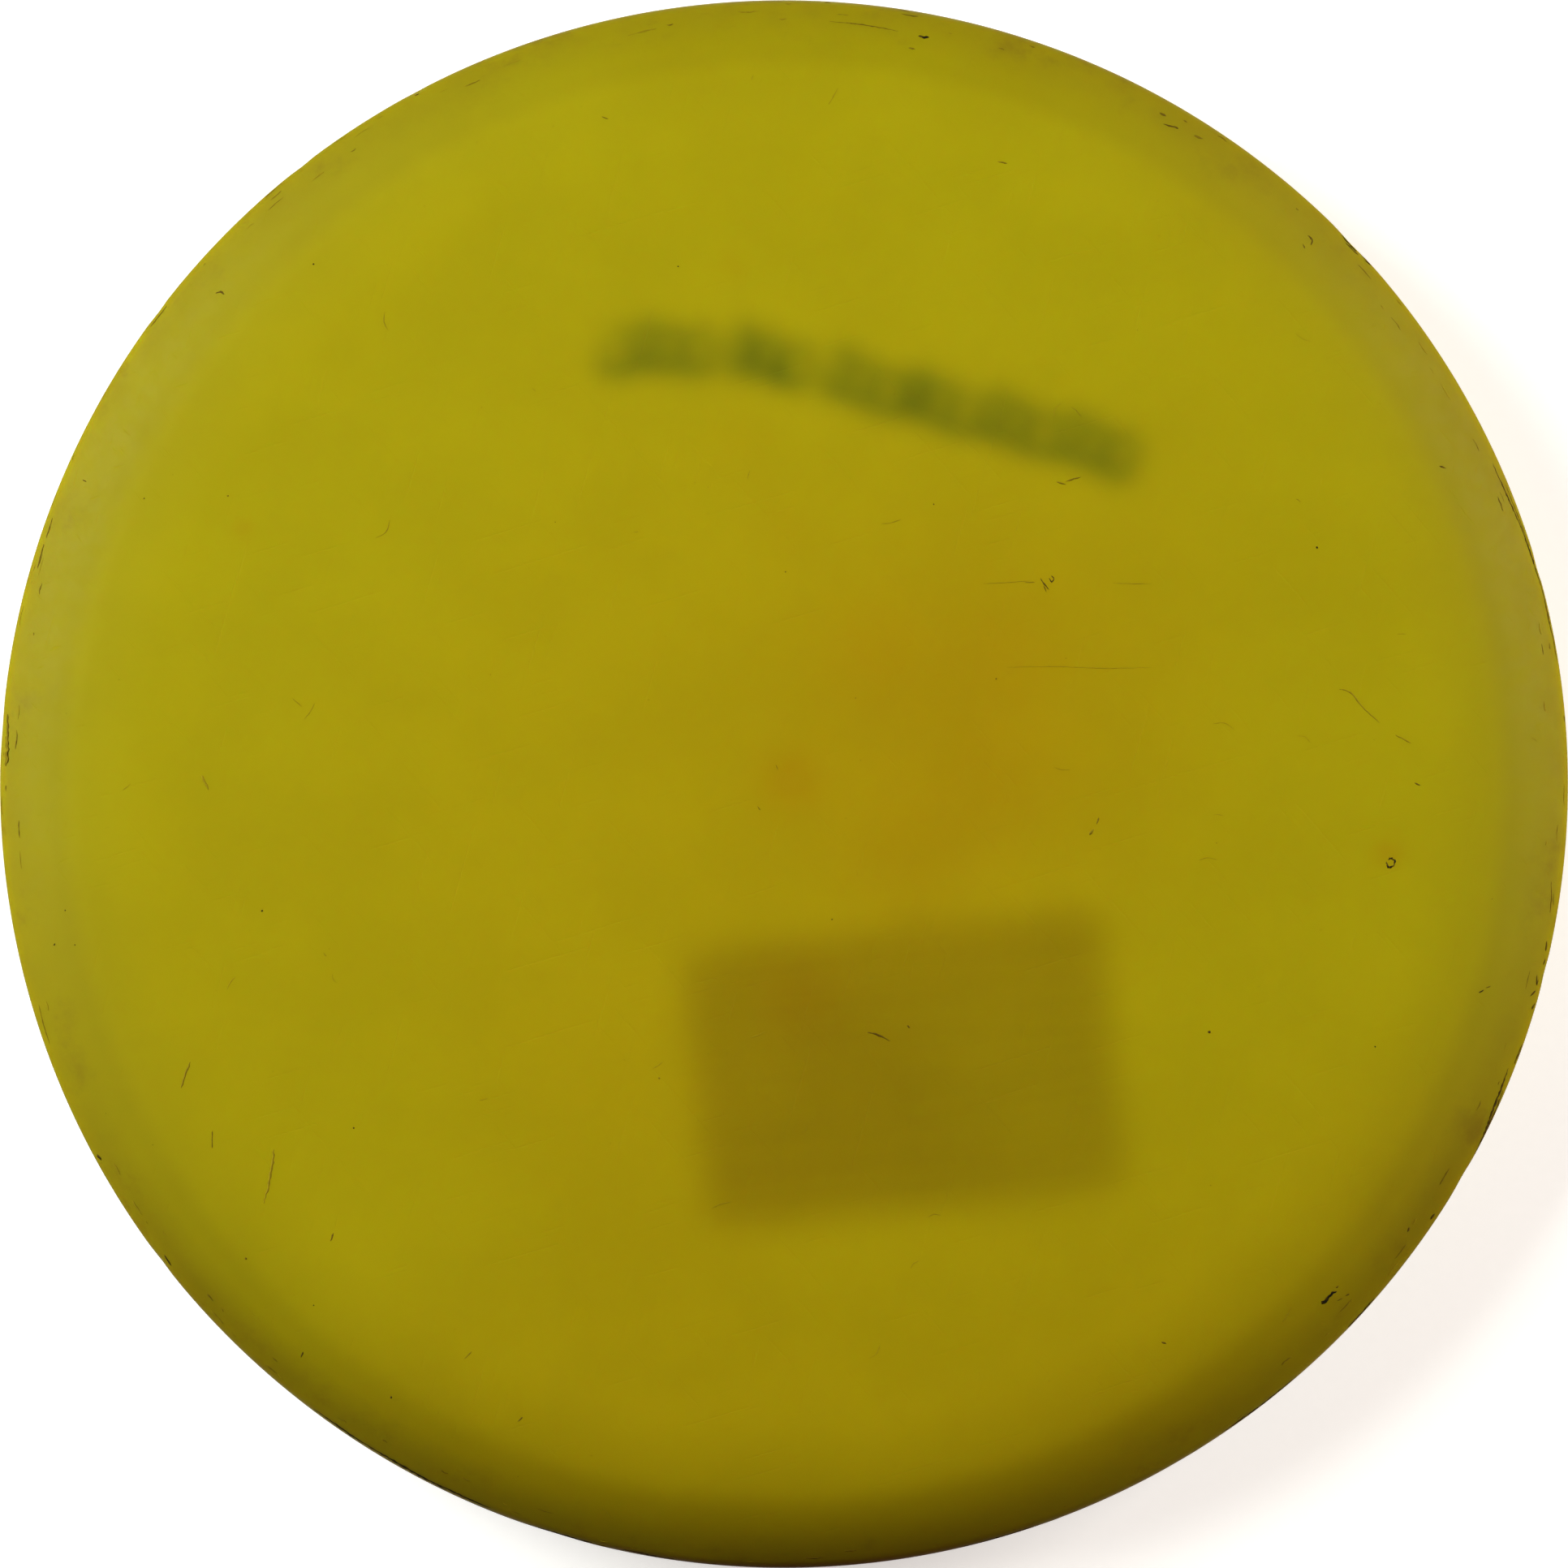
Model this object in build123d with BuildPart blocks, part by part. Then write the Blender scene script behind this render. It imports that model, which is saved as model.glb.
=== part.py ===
from build123d import *
from math import cos, radians, sin
import os

# A golf disc of the putt-and-approach kind: a flight plate and rim moulded in one piece, with the
# owner's label and a line of marker scribble on the underside of the plate.
#
# Frame: +Z up along the spin axis, origin at the centre of the ring that the rim rests on.
# Sizes are in millimetres and angles in degrees.

# Overall size
outer_radius = 106.0  # at the nose, the widest line of the rim
total_height = 20.0  # from the resting ring to the top of the dome

# Top surface: tangent arcs from the centre outwards, each given by its radius and its last slope
dome_radius = 1800.0
dome_slope = 2.7
plate_edge_radius = 70.0
plate_edge_slope = 10.0
shoulder_radius = 22.0
shoulder_slope = 42.0

# Rim
nose_slope = 130.0  # past vertical, where the round nose meets the flat bevel under it
rim_width = 9.5  # from the nose to the inside wall
outer_edge_fillet = 1.5  # between the bevel and the resting ring
inner_edge_fillet = 0.8  # between the resting ring and the inside wall
ceiling_fillet = 3.0  # between the inside wall and the underside of the plate

# Underside of the flight plate, part of a large sphere
plate_thickness = 2.4  # at the centre
ceiling_radius = 1665.0

# Gate mark in the middle of the underside: a low boss with the trimmed sprue stub on it
boss_radius = 4.0
boss_height = 0.5
stub_radius = 1.2
stub_height = 0.4
gate_draft = 0.25  # how much wider each step is at its root

# Owner's label
label_width = 55.0
label_length = 36.5
label_corner_radius = 2.0
label_centre = (16.0, -38.0)
label_turn = 5.5
adhesive_thickness = 0.05
label_thickness = 0.15

# Marker scribble: words of plain pen loops along a bent baseline, which spell nothing
ink_thickness = 0.1
pen_width = 1.0
baseline_points = ((-24.6, 55.0), (-6.5, 55.2), (47.0, 40.5))
baseline_bend = 60.0
loops_per_word = (4, 3, 12)
word_gap = 1.9
loop_heights = (5.2, 6.6, 5.8)  # taken in turn along the line
loop_steps = (4.2, 3.0, 3.5)  # how far each loop moves the pen along, taken in turn

# Derived sizes
inside_radius = outer_radius - rim_width
ceiling_top = total_height - plate_thickness
sphere_centre = (0, 0, ceiling_top - ceiling_radius)
boss_bottom = ceiling_top - boss_height
stub_bottom = boss_bottom - stub_height
layer_zone = 4.0  # height that holds every thin layer under the plate


def ceiling_z(radius):
    """Height of the underside of the plate at a distance from the axis."""
    return sphere_centre[2] + (ceiling_radius**2 - radius**2) ** 0.5


def raise_layer(near, far):
    """Makes the sketch into the layer between two distances below the underside of the plate."""
    extrude(amount=layer_zone)
    with Locations(sphere_centre):
        Sphere(ceiling_radius - near, mode=Mode.INTERSECT)
        Sphere(ceiling_radius - far, mode=Mode.SUBTRACT)


def label_outline():
    """The label's outline, in the middle of its place under the plate."""
    with Locations(Location((*label_centre, 0), label_turn)):
        RectangleRounded(label_width, label_length, label_corner_radius)


def pen_loop(step, height):
    """One loop of the pen from the present location: an upstroke, then the downstroke across it."""
    top = (0.8 * step, height)
    upstroke = Edge.make_three_point_arc((0, 0), (1.05 * step, 0.45 * height), top)
    downstroke = Edge.make_three_point_arc(top, (0.15 * step, 0.5 * height), (step, 0))
    SlotArc(upstroke, pen_width)
    SlotArc(downstroke, pen_width)


wall_top = (inside_radius, ceiling_z(inside_radius))
boss_root = (boss_radius + gate_draft, ceiling_z(boss_radius + gate_draft))

with BuildPart() as disc_body:
    with BuildSketch(Plane.XZ):
        with BuildLine():
            dome = JernArc((0, total_height), (1, 0), dome_radius, -dome_slope)
            edge = JernArc(dome @ 1, dome % 1, plate_edge_radius, dome_slope - plate_edge_slope)
            shoulder = JernArc(edge @ 1, edge % 1, shoulder_radius, plate_edge_slope - shoulder_slope)
            nose_depth = 1 - sin(radians(shoulder_slope))
            nose_radius = (outer_radius - (shoulder @ 1).X) / nose_depth
            nose = JernArc(shoulder @ 1, shoulder % 1, nose_radius, shoulder_slope - nose_slope)
            bevel = PolarLine(
                nose @ 1, (nose @ 1).Y, -nose_slope, length_mode=LengthMode.VERTICAL
            )
            Polyline(bevel @ 1, (inside_radius, 0), wall_top)
            RadiusArc(wall_top, boss_root, -ceiling_radius)
            Polyline(
                boss_root,
                (boss_radius, boss_bottom),
                (stub_radius + gate_draft, boss_bottom),
                (stub_radius, stub_bottom),
                (0, stub_bottom),
                (0, total_height),
            )
        make_face()
        fillet(vertices().group_by(Axis.Y)[0].sort_by(Axis.X)[-1], outer_edge_fillet)
        fillet(vertices().group_by(Axis.Y)[0].sort_by(Axis.X)[0], inner_edge_fillet)
        fillet(vertices().sort_by_distance(wall_top)[0], ceiling_fillet)
    revolve(axis=Axis.Z)

with BuildPart() as label_adhesive:
    with BuildSketch(Plane.XY.offset(ceiling_top - layer_zone)):
        label_outline()
    raise_layer(0, adhesive_thickness)

with BuildPart() as id_label:
    with BuildSketch(Plane.XY.offset(ceiling_top - layer_zone)):
        label_outline()
    raise_layer(adhesive_thickness, adhesive_thickness + label_thickness)

with BuildLine() as baseline:
    FilletPolyline(*baseline_points, radius=baseline_bend)
baseline_path = baseline.wire()

with BuildPart() as marker_writing:
    with BuildSketch(Plane.XY.offset(ceiling_top - layer_zone)):
        along = 0
        loop = 0
        for loops in loops_per_word:
            for _ in range(loops):
                step = loop_steps[loop % len(loop_steps)]
                height = loop_heights[loop % len(loop_heights)]
                spot = baseline_path.position_at(along, PositionMode.LENGTH)
                turn = baseline_path.tangent_angle_at(along, PositionMode.LENGTH)
                with Locations(Location((spot.X, spot.Y, 0), turn)):
                    pen_loop(step, height)
                along += step
                loop += 1
            along += word_gap
    raise_layer(0, ink_thickness)

disc_body.part.label = "disc_body"
label_adhesive.part.label = "label_adhesive"
id_label.part.label = "id_label"
marker_writing.part.label = "marker_writing"

os.makedirs("parts", exist_ok=True)
export_step(disc_body.part, "parts/disc_body.step")
export_step(label_adhesive.part, "parts/label_adhesive.step")
export_step(id_label.part, "parts/id_label.step")
export_step(marker_writing.part, "parts/marker_writing.step")
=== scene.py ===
"""Looks of the golf disc: the moulding as a fine lathed mesh with its wear, materials, light and camera.

Everything is in metres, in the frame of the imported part: +Z up the spin axis, origin at the centre
of the ring that the rim rests on.
"""

import math
import random

import bmesh
import bpy
import numpy as np
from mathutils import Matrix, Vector, noise


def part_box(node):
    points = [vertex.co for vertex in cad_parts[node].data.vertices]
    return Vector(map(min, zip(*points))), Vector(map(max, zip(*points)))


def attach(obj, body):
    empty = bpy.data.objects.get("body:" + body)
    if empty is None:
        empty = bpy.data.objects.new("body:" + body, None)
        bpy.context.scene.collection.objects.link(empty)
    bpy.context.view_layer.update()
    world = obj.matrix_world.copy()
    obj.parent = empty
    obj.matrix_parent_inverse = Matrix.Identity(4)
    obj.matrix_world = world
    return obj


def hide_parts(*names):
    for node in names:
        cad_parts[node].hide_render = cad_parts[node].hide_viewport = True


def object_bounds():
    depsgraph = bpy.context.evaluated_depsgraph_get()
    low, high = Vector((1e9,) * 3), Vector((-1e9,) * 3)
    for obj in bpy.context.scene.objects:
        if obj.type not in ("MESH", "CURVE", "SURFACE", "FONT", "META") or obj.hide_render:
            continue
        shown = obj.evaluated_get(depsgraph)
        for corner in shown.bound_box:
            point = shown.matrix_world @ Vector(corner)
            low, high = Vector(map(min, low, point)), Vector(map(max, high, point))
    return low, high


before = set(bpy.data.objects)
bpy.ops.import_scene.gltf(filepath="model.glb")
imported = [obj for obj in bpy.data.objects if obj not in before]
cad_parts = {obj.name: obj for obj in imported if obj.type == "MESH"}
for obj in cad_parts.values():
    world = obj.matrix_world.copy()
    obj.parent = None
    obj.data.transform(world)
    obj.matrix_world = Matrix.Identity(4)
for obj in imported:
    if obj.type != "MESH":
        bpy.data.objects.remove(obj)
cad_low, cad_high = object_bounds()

MM = 0.001

# ---- Sizes of the moulding ------------------------------------------------------------------

OUTER_RADIUS = (cad_high.x - cad_low.x) / 2
HEIGHT = cad_high.z - cad_low.z
RIM_WIDTH = 9.5 * MM
INSIDE_RADIUS = OUTER_RADIUS - RIM_WIDTH
PLATE_THICKNESS = 2.4 * MM  # at the centre
CEILING_TOP = HEIGHT - PLATE_THICKNESS
CEILING_RADIUS = 1665 * MM
CEILING_FILLET = 3 * MM
OUTER_EDGE_FILLET = 1.5 * MM
INNER_EDGE_FILLET = 0.8 * MM
NOSE_END_SLOPE = 130  # degrees

# Tangent arcs of the top surface from the centre outwards: radius, slope at its end, rings of mesh
TOP_ARCS = ((1800 * MM, 2.7, 78), (70 * MM, 10, 10), (22 * MM, 42, 18))
PARTING_LINE = 0.04 * MM  # how far the moulding's parting line stands out of the nose

# Gate mark: radius and depth below the ceiling of the boss and of the stub on it
BOSS_RADIUS = 4 * MM
BOSS_DEPTH = 0.5 * MM
STUB_RADIUS = 1.2 * MM
STUB_DEPTH = 0.9 * MM
GATE_DRAFT = 0.25 * MM

# Mesh segments round a ring, halved inside each of these radii
RIM_SEGMENTS = 720
HALVING_RADII = (52 * MM, 24 * MM, 11 * MM)
NO_RADIUS = 1e-9  # a ring under this is a single point


# ---- The moulding's section, as (radius, height) points --------------------------------------


def ceiling_z(radius):
    """Height of the underside of the plate."""
    return CEILING_TOP - CEILING_RADIUS + math.sqrt(CEILING_RADIUS**2 - radius**2)


def add_arc(points, centre, radius, start, end, steps):
    """Adds points of an arc to a section, from one direction to another, in degrees from up."""
    for i in range(1, steps + 1):
        angle = math.radians(start + (end - start) * i / steps)
        points.append((centre[0] + radius * math.sin(angle), centre[1] + radius * math.cos(angle)))


def add_line(points, end, steps):
    """Adds evenly spaced points of a straight line to a section."""
    start = points[-1]
    for i in range(1, steps + 1):
        share = i / steps
        points.append(tuple(a + (b - a) * share for a, b in zip(start, end)))


def arc_centre(point, radius, slope):
    """Centre of the arc that has the given slope at a point."""
    angle = math.radians(slope)
    return point[0] - radius * math.sin(angle), point[1] - radius * math.cos(angle)


def outer_section():
    """From the top centre over the shoulder and the nose, with its parting line, to the bevel."""
    points = [(0.0, HEIGHT)]
    slope = 0
    for radius, end_slope, rings in TOP_ARCS:
        add_arc(points, arc_centre(points[-1], radius, slope), radius, slope, end_slope, rings)
        slope = end_slope
    radius = (OUTER_RADIUS - points[-1][0]) / (1 - math.sin(math.radians(slope)))
    centre = arc_centre(points[-1], radius, slope)
    add_arc(points, centre, radius, slope, 88.5, 12)
    add_arc(points, centre, radius + PARTING_LINE, 89, 91, 2)
    add_arc(points, centre, radius, 91, 91.5, 1)
    add_arc(points, centre, radius, 91.5, NOSE_END_SLOPE, 8)
    return points


def inner_section(bevel_start):
    """From the bevel under the nose round the resting ring and up to the ceiling's centre."""
    points = [bevel_start]
    slope = math.radians(NOSE_END_SLOPE)
    corner_radius = bevel_start[0] + bevel_start[1] / math.tan(slope)
    centre_radius = corner_radius - OUTER_EDGE_FILLET * math.tan((math.pi - slope) / 2)
    centre = (centre_radius, OUTER_EDGE_FILLET)
    bevel_end = []
    add_arc(bevel_end, centre, OUTER_EDGE_FILLET, NOSE_END_SLOPE, NOSE_END_SLOPE, 1)
    add_line(points, bevel_end[0], 6)
    add_arc(points, centre, OUTER_EDGE_FILLET, NOSE_END_SLOPE, 180, 4)
    centre = (INSIDE_RADIUS + INNER_EDGE_FILLET, INNER_EDGE_FILLET)
    add_line(points, (centre[0], 0), 2)
    add_arc(points, centre, INNER_EDGE_FILLET, 180, 270, 4)
    centre_radius = INSIDE_RADIUS - CEILING_FILLET
    reach = CEILING_RADIUS - CEILING_FILLET
    centre_height = CEILING_TOP - CEILING_RADIUS + math.sqrt(reach**2 - centre_radius**2)
    add_line(points, (INSIDE_RADIUS, centre_height), 5)
    ceiling_slope = math.degrees(math.asin(centre_radius / reach))
    add_arc(points, (centre_radius, centre_height), CEILING_FILLET, 90, ceiling_slope, 6)
    edge = points[-1][0]
    root = BOSS_RADIUS + GATE_DRAFT
    rings = 16
    for i in range(1, rings + 1):
        radius = edge + (root - edge) * i / rings
        points.append((radius, ceiling_z(radius)))
    add_line(points, (BOSS_RADIUS, CEILING_TOP - BOSS_DEPTH), 2)
    add_line(points, (STUB_RADIUS + GATE_DRAFT, CEILING_TOP - BOSS_DEPTH), 3)
    add_line(points, (STUB_RADIUS, CEILING_TOP - STUB_DEPTH), 2)
    add_line(points, (0.0, CEILING_TOP - STUB_DEPTH), 2)
    return points


OUTER_SECTION = outer_section()
INNER_SECTION = inner_section(OUTER_SECTION[-1])


# ---- Wear in the shape: dents in the rim and a slight unevenness of the moulding -------------

# Dents: direction in degrees, height, depth, half length along the rim, half height
RIM_DENTS = (
    (16, 9.5, 0.16, 1.4, 1.2),
    (43.5, 9.5, 0.20, 2.4, 1.6),
    (128, 9.5, 0.14, 1.2, 1.2),
    (118, 10, 0.12, 1.0, 1.0),
    (143, 9.5, 0.16, 1.2, 1.2),
    (176, 10, 0.10, 3.0, 1.8),
    (217.5, 9.5, 0.12, 1.5, 1.2),
    (253, 8.5, 0.12, 3.5, 1.4),
    (330, 9, 0.10, 2.0, 1.5),
    (346, 9.5, 0.12, 1.6, 1.6),
    (300, 7, 0.30, 1.5, 1.2),
    (72, 7, 0.25, 1.2, 1.2),
    (20, 6.5, 0.20, 2.2, 1.0),
    (196, 6, 0.25, 1.4, 1.0),
)
UNEVENNESS = 0.035 * MM
UNEVENNESS_SIZE = 38 * MM
DENT_ZONE = OUTER_RADIUS - 6 * MM  # dents lie outside this radius
RAGGEDNESS = 0.35  # of a dent's depth, and the size of its lumps
RAGGED_SIZE = 0.9 * MM


def sink(x, y, z):
    """How far the worn surface lies under the true one at a place on the outside."""
    depth = UNEVENNESS * noise.noise(Vector((x, y, z)) / UNEVENNESS_SIZE)
    if math.hypot(x, y) < DENT_ZONE:
        return depth
    direction = math.degrees(math.atan2(y, x))
    for where, height, deepest, half_length, half_height in RIM_DENTS:
        turn = (direction - where + 180) % 360 - 180
        along = math.radians(turn) * OUTER_RADIUS / (half_length * MM)
        up = (z - height * MM) / (half_height * MM)
        ragged = 1 + RAGGEDNESS * noise.noise(Vector((x, y, z)) / RAGGED_SIZE)
        depth += deepest * MM * ragged * math.exp(-(along**2) - up**2)
    return depth


# ---- What shows through the plate ------------------------------------------------------------

# Grids in plan view: size of a cell, and cells along each side
GRID_STEP = 0.25 * MM
GRID_CELLS = 896

# Scatter in the plate, and how far the label's shadow reaches past its edge
LABEL_BLUR = 2.2 * MM
INK_BLUR = 1.45 * MM
LABEL_SPREAD = 0.6 * MM
SPREAD_LEVEL = 0.159  # what a blur leaves of a straight edge at its own reach outside it


def blurred(grid, reach):
    """A plan-view grid scattered over that reach."""
    frequency = np.fft.fftfreq(GRID_CELLS, GRID_STEP)
    falloff = np.exp(-2 * (math.pi * reach * frequency) ** 2)
    return np.real(np.fft.ifft2(np.fft.fft2(grid) * falloff[:, None] * falloff[None, :]))


def covered_grid(node_name):
    """A grid of the cells that a thin CAD node covers: 1 there and 0 elsewhere."""
    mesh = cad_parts[node_name].data
    mesh.calc_loop_triangles()
    grid = np.zeros((GRID_CELLS, GRID_CELLS))
    for triangle in mesh.loop_triangles:
        corners = [mesh.vertices[i].co for i in triangle.vertices]
        place = np.array([(c.x, c.y) for c in corners]) / GRID_STEP + GRID_CELLS / 2
        low = np.floor(place.min(0)).astype(int)
        high = np.ceil(place.max(0)).astype(int) + 1
        xs, ys = np.meshgrid(np.arange(low[0], high[0]), np.arange(low[1], high[1]))
        sides = []
        for i in range(3):
            a, b = place[i], place[(i + 1) % 3]
            sides.append((b[0] - a[0]) * (ys - a[1]) - (b[1] - a[1]) * (xs - a[0]))
        inside = (np.min(sides, axis=0) >= 0) | (np.max(sides, axis=0) <= 0)
        grid[ys[inside], xs[inside]] = 1
    return grid


def sample_grid(grid, places):
    """Values of a plan-view grid at (x, y) places, between its cells."""
    cell = places / GRID_STEP + GRID_CELLS / 2
    low = np.clip(np.floor(cell).astype(int), 0, GRID_CELLS - 2)
    share = cell - low
    x, y = low[:, 0], low[:, 1]
    u, v = share[:, 0], share[:, 1]
    below = grid[y, x] * (1 - u) + grid[y, x + 1] * u
    above = grid[y + 1, x] * (1 - u) + grid[y + 1, x + 1] * u
    return below * (1 - v) + above * v


# Warmer patches in the plastic, and in the broad ones along the lower rim painted shade that browns it:
# x, y, reach, strength
WARM_AND_SHADE_PATCHES = (
    (2, -6, 58, 0.42),
    (26, 10, 27, 0.42),
    (80.6, -9.3, 2.0, 0.5),
    (12, 18, 8, 0.25),
    (29, 17, 7, 0.2),
    (28, 0, 9, 0.2),
    (16, -10, 9, 0.25),
    (-26, -38, 16, 0.2),
    (1, 0.5, 4.2, 0.5),
    (2, -28, 6, 0.3),
    (-14, -62, 26, 0.10),
    (0, -96, 36, 0.32),
    (48, -86, 32, 0.42),
    (-48, -90, 26, 0.28),
    (86, -54, 22, 0.28),
    (0, 34, 4, 0.15),
    (-6, 45, 5, 0.15),
    (-72, 34, 1.3, 0.4),
    (-7, 69, 2, 0.2),
)

# How dark the label looks from above: its whole area, and patches of it as above
LABEL_DEPTH = 0.79
LABEL_PATCHES = (
    (9, -39, 10, 0.24),
    (18, -50, 9, 0.12),
    (2, -50, 9, 0.10),
    (2, -28, 6, 0.08),
)

# The same for the marker line: the pen pressed harder in some places and ran thin in others
INK_DEPTH = 1.12
INK_PATCHES = (
    (-4, 57.5, 2.4, 0.26),
    (-0.5, 55, 2.6, 0.24),
    (18, 52.3, 3, 0.28),
    (31, 49, 2.4, 0.08),
    (44, 45.5, 3, 0.08),
    (-24, 59.5, 3.4, -0.35),
    (25.5, 52, 2, -0.2),
    (5.5, 57, 2, -0.25),
)


def soft_patches(places, patches):
    """Sum of soft round patches at (x, y) places."""
    total = np.zeros(len(places))
    for x, y, reach, strength in patches:
        distance = np.hypot(places[:, 0] - x * MM, places[:, 1] - y * MM)
        total += strength * np.exp(-((distance / (reach * MM)) ** 2))
    return total


# Stretches of the rim, mostly on its lower side, darkened and browned with painted shade: direction and
# reach in degrees, strength
RIM_PAINTED_SHADE = (
    (224, 15, 0.85),
    (246, 10, 0.5),
    (308, 10, 0.3),
    (327, 13, 0.75),
)
RIM_SHADE_START = OUTER_RADIUS - 6.5 * MM
RIM_SHADE_FULL = OUTER_RADIUS - 2.5 * MM


def rim_shade_amount(places):
    """How much painted shade darkens the rim at (x, y) places."""
    direction = np.degrees(np.arctan2(places[:, 1], places[:, 0]))
    total = np.zeros(len(places))
    for where, reach, strength in RIM_PAINTED_SHADE:
        turn = (direction - where + 180) % 360 - 180
        total += strength * np.exp(-((turn / reach) ** 2))
    outwards = (np.hypot(places[:, 0], places[:, 1]) - RIM_SHADE_START) / (RIM_SHADE_FULL - RIM_SHADE_START)
    return total * np.clip(outwards, 0, 1)


# ---- The moulding's mesh ---------------------------------------------------------------------


def ring_segments(radius):
    """Number of segments in a ring of that radius."""
    segments = RIM_SEGMENTS
    for limit in HALVING_RADII:
        if radius < limit:
            segments //= 2
    return segments


def section_normals(section):
    """Unit normals of a section's points, pointing out of the plastic, as (radial, up)."""
    run = np.gradient(np.array(section), axis=0)
    normals = np.stack([-run[:, 1], run[:, 0]], axis=1)
    return normals / np.linalg.norm(normals, axis=1)[:, None]


def bridge(faces, first, second):
    """Adds the faces between two rings of vertex numbers.

    One of them may have half the other's count, or be a single point.
    """
    if len(first) == 1 or len(second) == 1:
        centre, ring = (first[0], second) if len(first) == 1 else (second[0], first)
        for i in range(len(ring)):
            faces.append((centre, ring[i], ring[(i + 1) % len(ring)]))
        return
    if len(first) == len(second):
        for i in range(len(first)):
            j = (i + 1) % len(first)
            faces.append((first[i], first[j], second[j], second[i]))
        return
    if len(first) > len(second):
        first, second = second, first
    for i in range(len(first)):
        j = (i + 1) % len(first)
        k = (2 * i + 2) % len(second)
        faces.append((first[i], first[j], second[k], second[2 * i + 1], second[2 * i]))


def worn_place(angle, radius, height, normal):
    """A vertex of the outside, sunk along its normal by the wear there."""
    across, ahead = math.cos(angle), math.sin(angle)
    depth = sink(radius * across, radius * ahead, height)
    radial = radius - normal[0] * depth
    return radial * across, radial * ahead, height - normal[1] * depth


def lathe_places():
    """Every vertex, whether it is on the outside, and the vertex numbers of each ring."""
    normals = section_normals(OUTER_SECTION)
    places = []
    outside = []
    rings = []
    for i, (radius, height) in enumerate(OUTER_SECTION + INNER_SECTION[1:]):
        is_outside = i < len(OUTER_SECTION)
        count = 1 if radius < NO_RADIUS else ring_segments(radius)
        rings.append(list(range(len(places), len(places) + count)))
        for step in range(count):
            angle = 2 * math.pi * step / count
            if is_outside and count > 1:
                places.append(worn_place(angle, radius, height, normals[i]))
            else:
                places.append((radius * math.cos(angle), radius * math.sin(angle), height))
            outside.append(is_outside)
    return places, outside, rings


def add_layers(mesh, places, outside):
    """Keeps what shows through, the warm patches with painted shade among them, and the rim's painted
    shade on the outside's vertices.
    """
    plan = np.array(places)[:, :2]
    label_cells = blurred(covered_grid("id_label"), LABEL_SPREAD) > SPREAD_LEVEL
    label_grid = blurred(label_cells, LABEL_BLUR)
    label_depth = LABEL_DEPTH + soft_patches(plan, LABEL_PATCHES)
    ink_grid = blurred(covered_grid("marker_writing"), INK_BLUR)
    ink_depth = INK_DEPTH + soft_patches(plan, INK_PATCHES)
    for name, values in (
        ("label_shadow", sample_grid(label_grid, plan) * label_depth),
        ("ink_shadow", sample_grid(ink_grid, plan) * ink_depth),
        ("warmth_and_shade", soft_patches(plan, WARM_AND_SHADE_PATCHES)),
        ("lower_rim_shade", rim_shade_amount(plan)),
    ):
        layer = mesh.attributes.new(name, "FLOAT", "POINT")
        layer.data.foreach_set("value", (values * np.array(outside, float)).astype(np.float32))


def lathe_disc():
    """The whole moulding as one closed mesh."""
    places, outside, rings = lathe_places()
    faces = []
    for first, second in zip(rings, rings[1:]):
        bridge(faces, first, second)
    mesh = bpy.data.meshes.new("disc_moulding")
    mesh.from_pydata(places, [], faces)
    clean_mesh(mesh)
    add_layers(mesh, places, outside)
    return add_object("disc_moulding", mesh)


def clean_mesh(mesh):
    """Turns all faces outwards and shades them smooth."""
    work = bmesh.new()
    work.from_mesh(mesh)
    bmesh.ops.recalc_face_normals(work, faces=work.faces)
    work.to_mesh(mesh)
    work.free()
    mesh.shade_smooth()


def add_object(name, data):
    """Links a mesh, lamp or camera to the scene as an object."""
    made = bpy.data.objects.new(name, data)
    bpy.context.scene.collection.objects.link(made)
    return made


# ---- Dirty scratches, nicks and specks: thin closed slivers bedded in the surface ------------

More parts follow.
